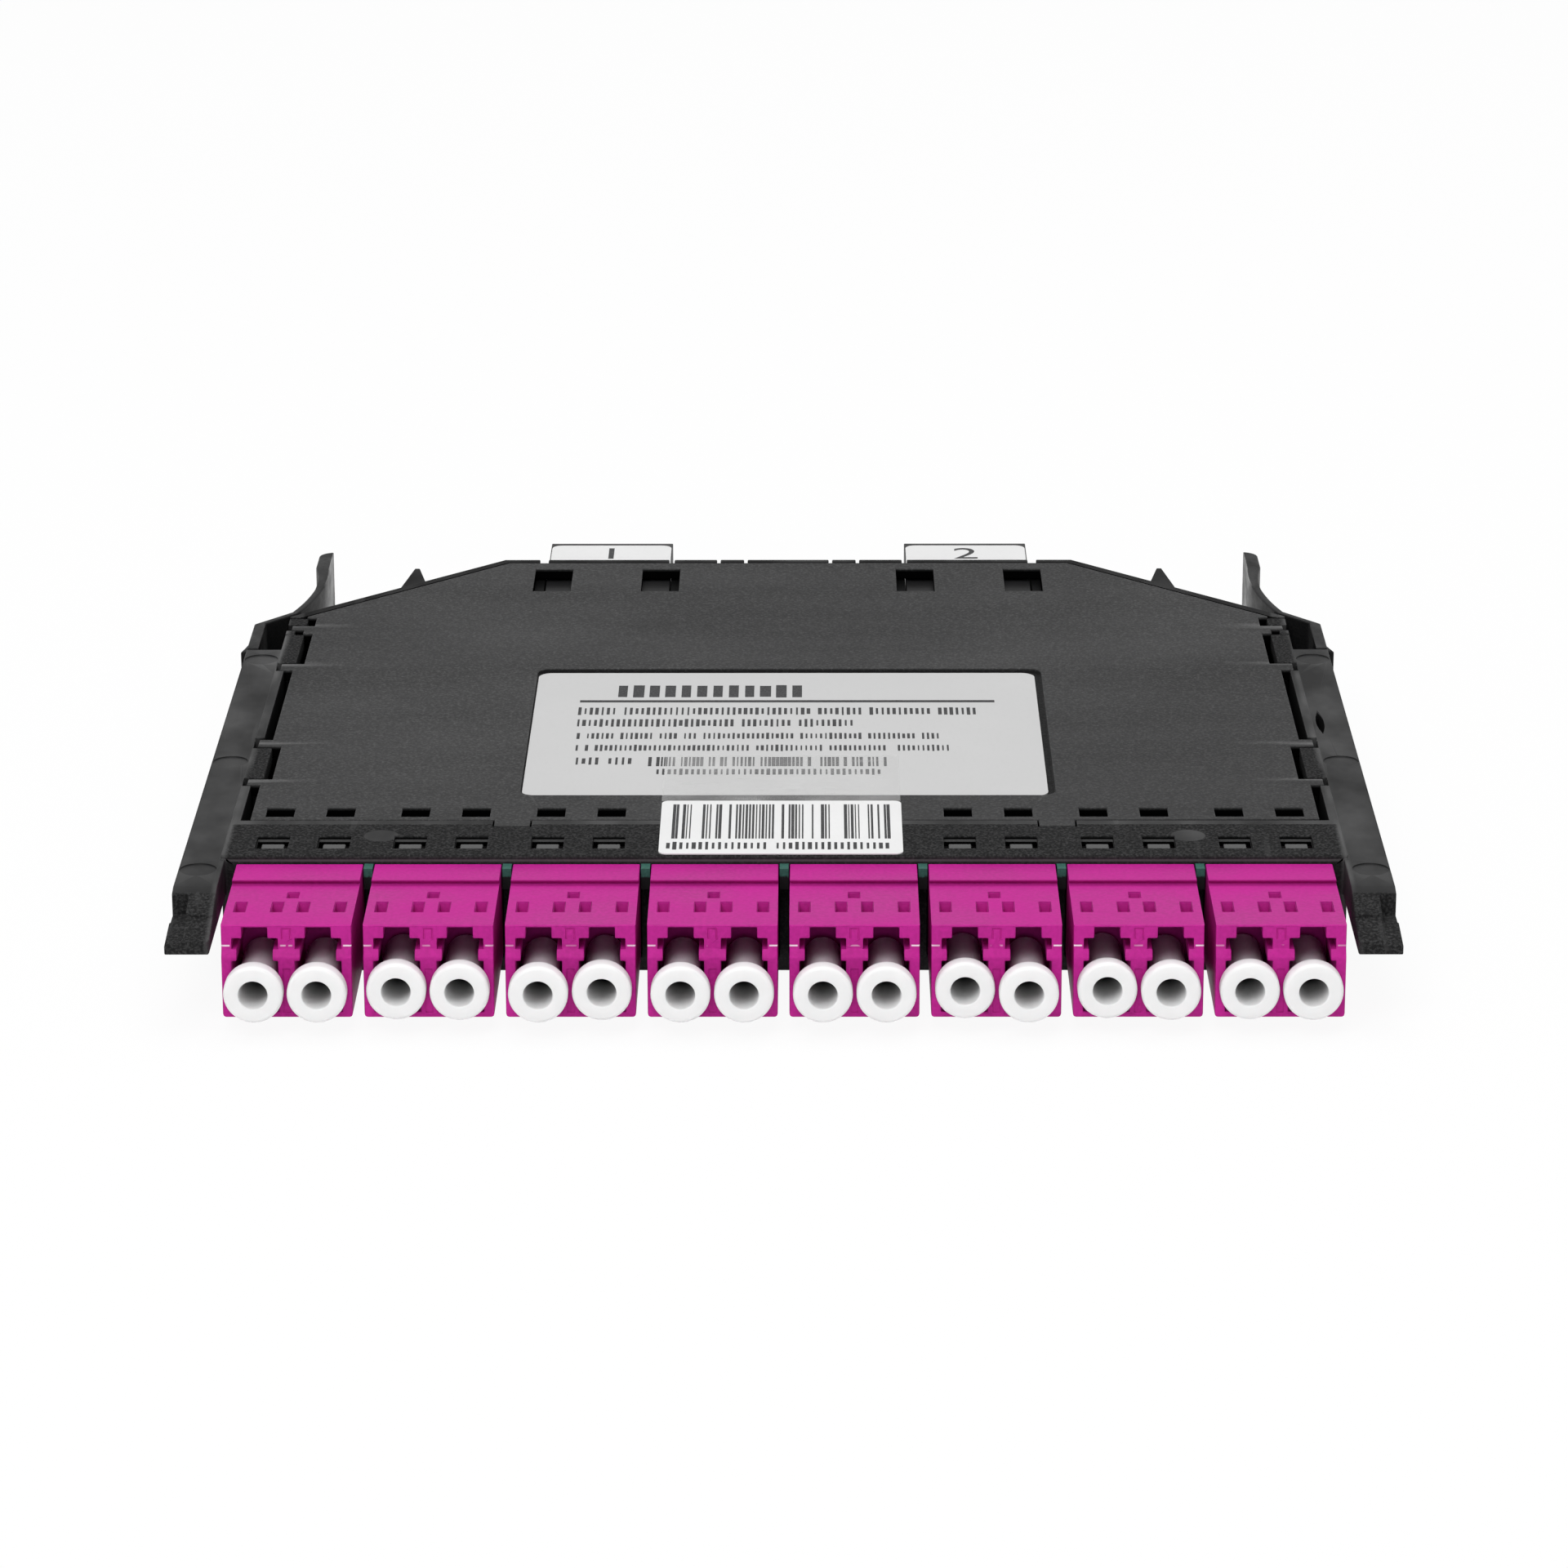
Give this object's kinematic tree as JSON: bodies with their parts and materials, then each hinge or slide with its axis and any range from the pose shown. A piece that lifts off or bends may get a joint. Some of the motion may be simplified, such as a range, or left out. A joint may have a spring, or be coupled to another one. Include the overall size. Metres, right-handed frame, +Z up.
{
  "type": "fibre cassette",
  "caption": "Flat moulded breakout cassette with side slide rails and release levers, a row of capped duplex fibre adapters in front and multi-fibre adapters behind.",
  "frame": {"origin": "middle of the housing's flat underside, half-way between its front and rear walls", "axes": "+X to the right seen from the duplex adapters, +Y from the duplex adapters towards the rear, +Z up out of the cover"},
  "size_m": [0.1242, 0.1419, 0.0125],
  "materials": {
    "green_spacer_plastic": "satin dark green",
    "white_label_film": "matte paper-faced film",
    "black_housing_plastic": "satin moulded black, fine spark texture",
    "black_cover_plastic": "matte moulded black with faint flow marks",
    "white_cap_plastic": "soft satin white",
    "aqua_fibre_coating": "satin aqua",
    "beige_plug_plastic": "satin beige",
    "black_connector_plastic": "satin black",
    "magenta_adapter_plastic": "satin magenta"
  },
  "bodies": {
    "cassette": {"adapter_spacers": "green_spacer_plastic", "barcode_strip": "white_label_film", "base_housing": "black_housing_plastic", "cover": "black_cover_plastic", "fibre_fan_left": "aqua_fibre_coating", "fibre_fan_right": "aqua_fibre_coating", "inner_lc_plugs": "beige_plug_plastic", "inner_mpo_plug_left": "black_connector_plastic", "inner_mpo_plug_right": "black_connector_plastic", "lc_adapter_1": "magenta_adapter_plastic", "lc_adapter_2": "magenta_adapter_plastic", "lc_adapter_3": "magenta_adapter_plastic", "lc_adapter_4": "magenta_adapter_plastic", "lc_adapter_5": "magenta_adapter_plastic", "lc_adapter_6": "magenta_adapter_plastic", "lc_adapter_7": "magenta_adapter_plastic", "lc_adapter_8": "magenta_adapter_plastic", "main_label": "white_label_film", "mpo_adapter_left": "black_connector_plastic", "mpo_adapter_right": "black_connector_plastic", "port_tag_left": "white_label_film", "port_tag_right": "white_label_film"},
    "dust_cap_1": {"dust_cap_1": "white_cap_plastic"},
    "dust_cap_10": {"dust_cap_10": "white_cap_plastic"},
    "dust_cap_11": {"dust_cap_11": "white_cap_plastic"},
    "dust_cap_12": {"dust_cap_12": "white_cap_plastic"},
    "dust_cap_13": {"dust_cap_13": "white_cap_plastic"},
    "dust_cap_14": {"dust_cap_14": "white_cap_plastic"},
    "dust_cap_15": {"dust_cap_15": "white_cap_plastic"},
    "dust_cap_16": {"dust_cap_16": "white_cap_plastic"},
    "dust_cap_2": {"dust_cap_2": "white_cap_plastic"},
    "dust_cap_3": {"dust_cap_3": "white_cap_plastic"},
    "dust_cap_4": {"dust_cap_4": "white_cap_plastic"},
    "dust_cap_5": {"dust_cap_5": "white_cap_plastic"},
    "dust_cap_6": {"dust_cap_6": "white_cap_plastic"},
    "dust_cap_7": {"dust_cap_7": "white_cap_plastic"},
    "dust_cap_8": {"dust_cap_8": "white_cap_plastic"},
    "dust_cap_9": {"dust_cap_9": "white_cap_plastic"},
    "mpo_cap_left": {"mpo_cap_left": "black_connector_plastic"},
    "mpo_cap_right": {"mpo_cap_right": "black_connector_plastic"},
    "release_lever_left": {"release_lever_left": "black_housing_plastic"},
    "release_lever_right": {"release_lever_right": "black_housing_plastic"}
  },
  "joints": [
    {"name": "dust_cap_1_pull", "type": "slide", "parent": "cassette", "child": "dust_cap_1", "axis": [0, -1, 0], "range_m": [0, 0.02]},
    {"name": "dust_cap_10_pull", "type": "slide", "parent": "cassette", "child": "dust_cap_10", "axis": [0, -1, 0], "range_m": [0, 0.02]},
    {"name": "dust_cap_11_pull", "type": "slide", "parent": "cassette", "child": "dust_cap_11", "axis": [0, -1, 0], "range_m": [0, 0.02]},
    {"name": "dust_cap_12_pull", "type": "slide", "parent": "cassette", "child": "dust_cap_12", "axis": [0, -1, 0], "range_m": [0, 0.02]},
    {"name": "dust_cap_13_pull", "type": "slide", "parent": "cassette", "child": "dust_cap_13", "axis": [0, -1, 0], "range_m": [0, 0.02]},
    {"name": "dust_cap_14_pull", "type": "slide", "parent": "cassette", "child": "dust_cap_14", "axis": [0, -1, 0], "range_m": [0, 0.02]},
    {"name": "dust_cap_15_pull", "type": "slide", "parent": "cassette", "child": "dust_cap_15", "axis": [0, -1, 0], "range_m": [0, 0.02]},
    {"name": "dust_cap_16_pull", "type": "slide", "parent": "cassette", "child": "dust_cap_16", "axis": [0, -1, 0], "range_m": [0, 0.02]},
    {"name": "dust_cap_2_pull", "type": "slide", "parent": "cassette", "child": "dust_cap_2", "axis": [0, -1, 0], "range_m": [0, 0.02]},
    {"name": "dust_cap_3_pull", "type": "slide", "parent": "cassette", "child": "dust_cap_3", "axis": [0, -1, 0], "range_m": [0, 0.02]},
    {"name": "dust_cap_4_pull", "type": "slide", "parent": "cassette", "child": "dust_cap_4", "axis": [0, -1, 0], "range_m": [0, 0.02]},
    {"name": "dust_cap_5_pull", "type": "slide", "parent": "cassette", "child": "dust_cap_5", "axis": [0, -1, 0], "range_m": [0, 0.02]},
    {"name": "dust_cap_6_pull", "type": "slide", "parent": "cassette", "child": "dust_cap_6", "axis": [0, -1, 0], "range_m": [0, 0.02]},
    {"name": "dust_cap_7_pull", "type": "slide", "parent": "cassette", "child": "dust_cap_7", "axis": [0, -1, 0], "range_m": [0, 0.02]},
    {"name": "dust_cap_8_pull", "type": "slide", "parent": "cassette", "child": "dust_cap_8", "axis": [0, -1, 0], "range_m": [0, 0.02]},
    {"name": "dust_cap_9_pull", "type": "slide", "parent": "cassette", "child": "dust_cap_9", "axis": [0, -1, 0], "range_m": [0, 0.02]},
    {"name": "mpo_cap_left_pull", "type": "slide", "parent": "cassette", "child": "mpo_cap_left", "axis": [0, 1, 0], "range_m": [0, 0.02]},
    {"name": "mpo_cap_right_pull", "type": "slide", "parent": "cassette", "child": "mpo_cap_right", "axis": [0, 1, 0], "range_m": [0, 0.02]},
    {"name": "release_lever_left_squeeze", "type": "hinge", "parent": "cassette", "child": "release_lever_left", "pos_m": [-0.0597, 0.01855, 0.0075], "axis": [0, 0, -1], "range_deg": [0, 3.5], "stiffness_Nm_per_rad": 3},
    {"name": "release_lever_right_squeeze", "type": "hinge", "parent": "cassette", "child": "release_lever_right", "pos_m": [0.0597, 0.01855, 0.0075], "axis": [0, 0, 1], "range_deg": [0, 3.5], "stiffness_Nm_per_rad": 3}
  ]
}
